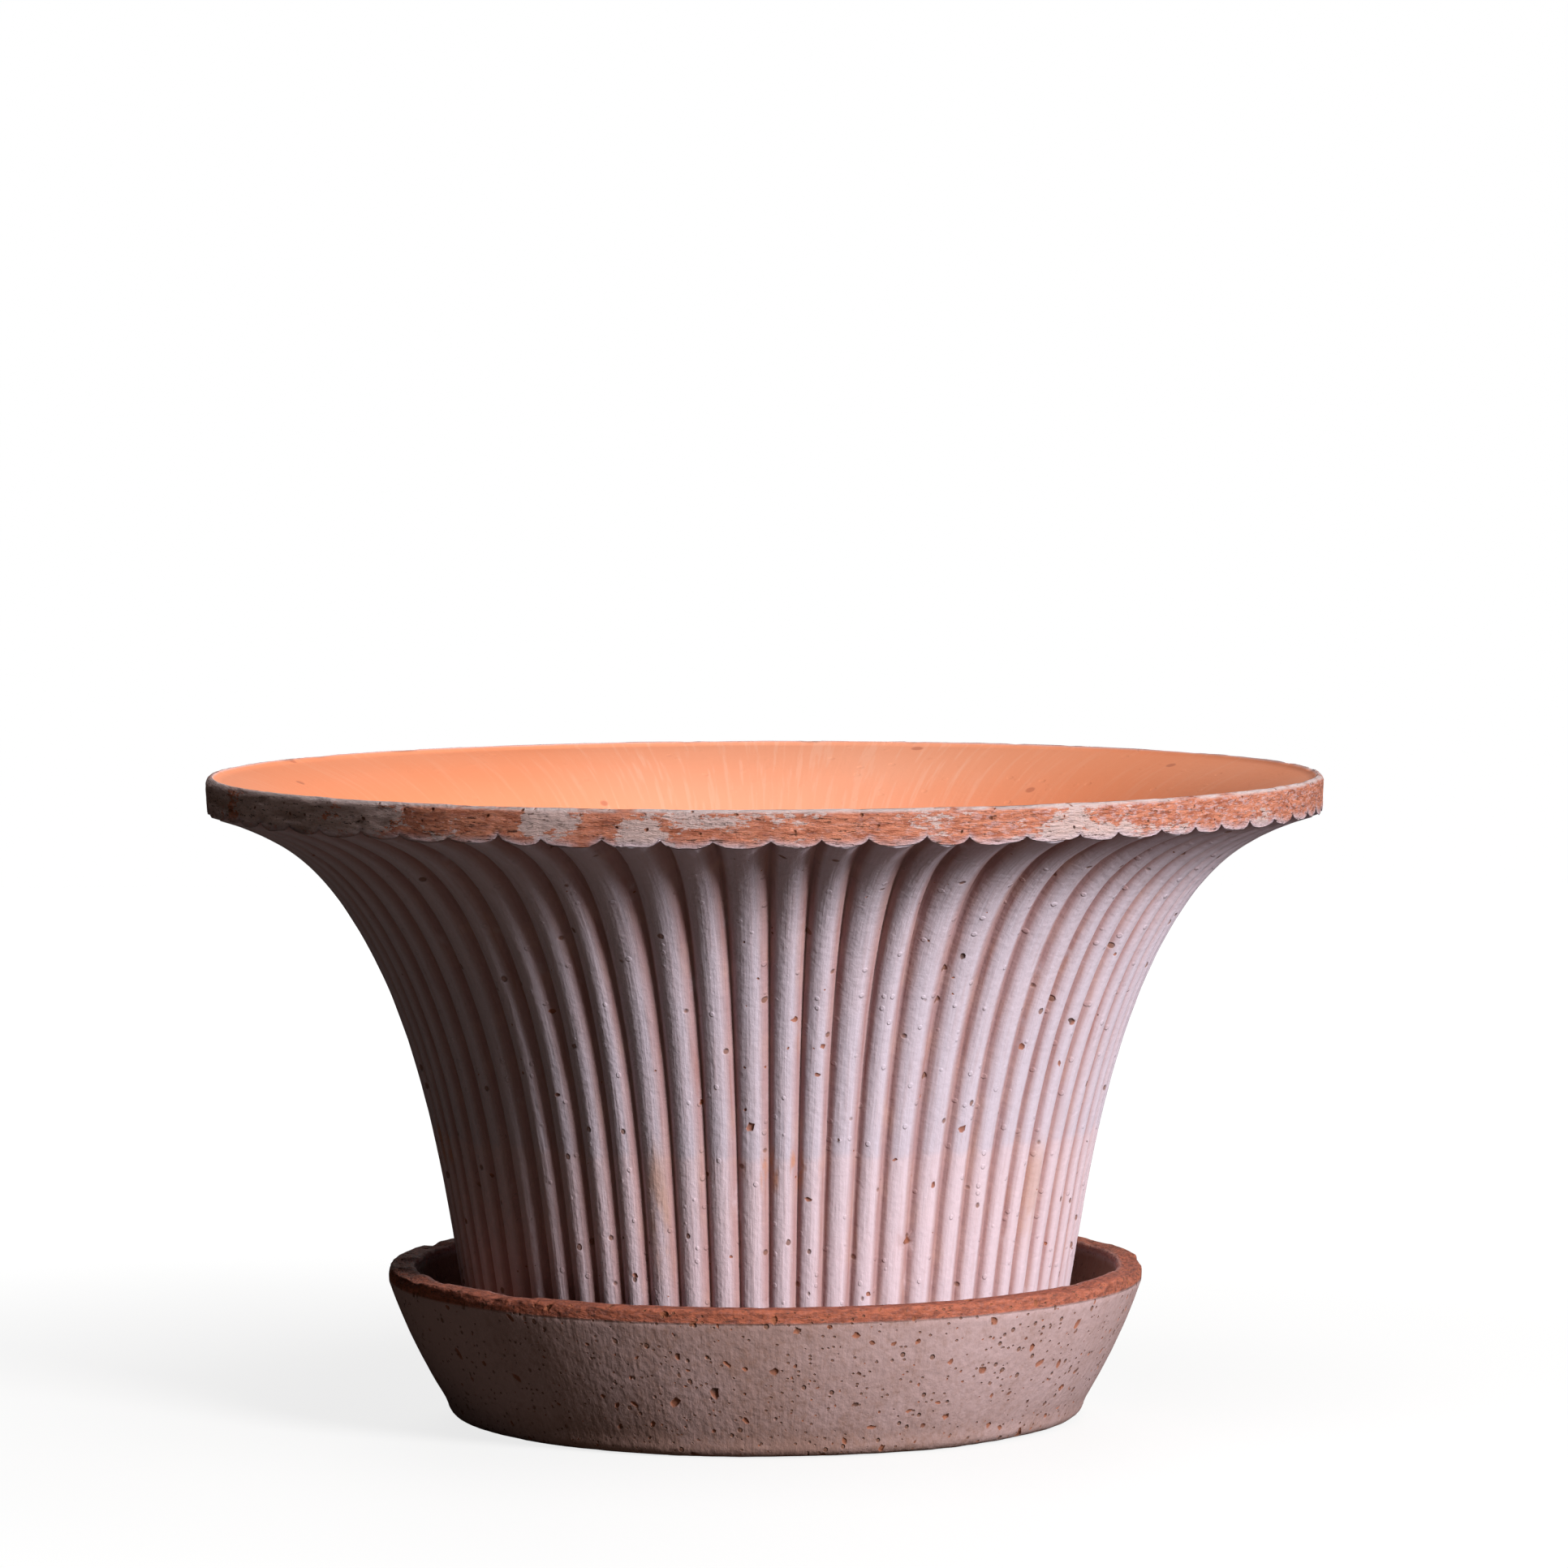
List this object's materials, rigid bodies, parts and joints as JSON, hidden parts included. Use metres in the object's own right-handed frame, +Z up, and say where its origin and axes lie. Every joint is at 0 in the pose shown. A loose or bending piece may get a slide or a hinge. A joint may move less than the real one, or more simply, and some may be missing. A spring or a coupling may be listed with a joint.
{
  "type": "plant pot with saucer",
  "caption": "Trumpet-flared plant pot with fluted sides and an upright rim band, standing loose in a shallow round drip saucer.",
  "frame": {"origin": "centre of the saucer's underside", "axes": "+Z up along the common axis of pot and saucer; -Y faces the viewer; +X to the viewer's right"},
  "size_m": [0.25, 0.25, 0.144],
  "materials": {
    "pot_clay": "matt unglazed terracotta under a worn, brushed lime wash",
    "saucer_clay": "matt unglazed terracotta, pitted, with a thin worn wash"
  },
  "bodies": {
    "saucer": {"saucer": "saucer_clay"},
    "pot": {"pot": "pot_clay"}
  },
  "joints": [
    {"name": "pot_lift", "type": "slide", "parent": "saucer", "child": "pot", "axis": [0, 0, 1], "range_m": [0, 0.16]}
  ]
}
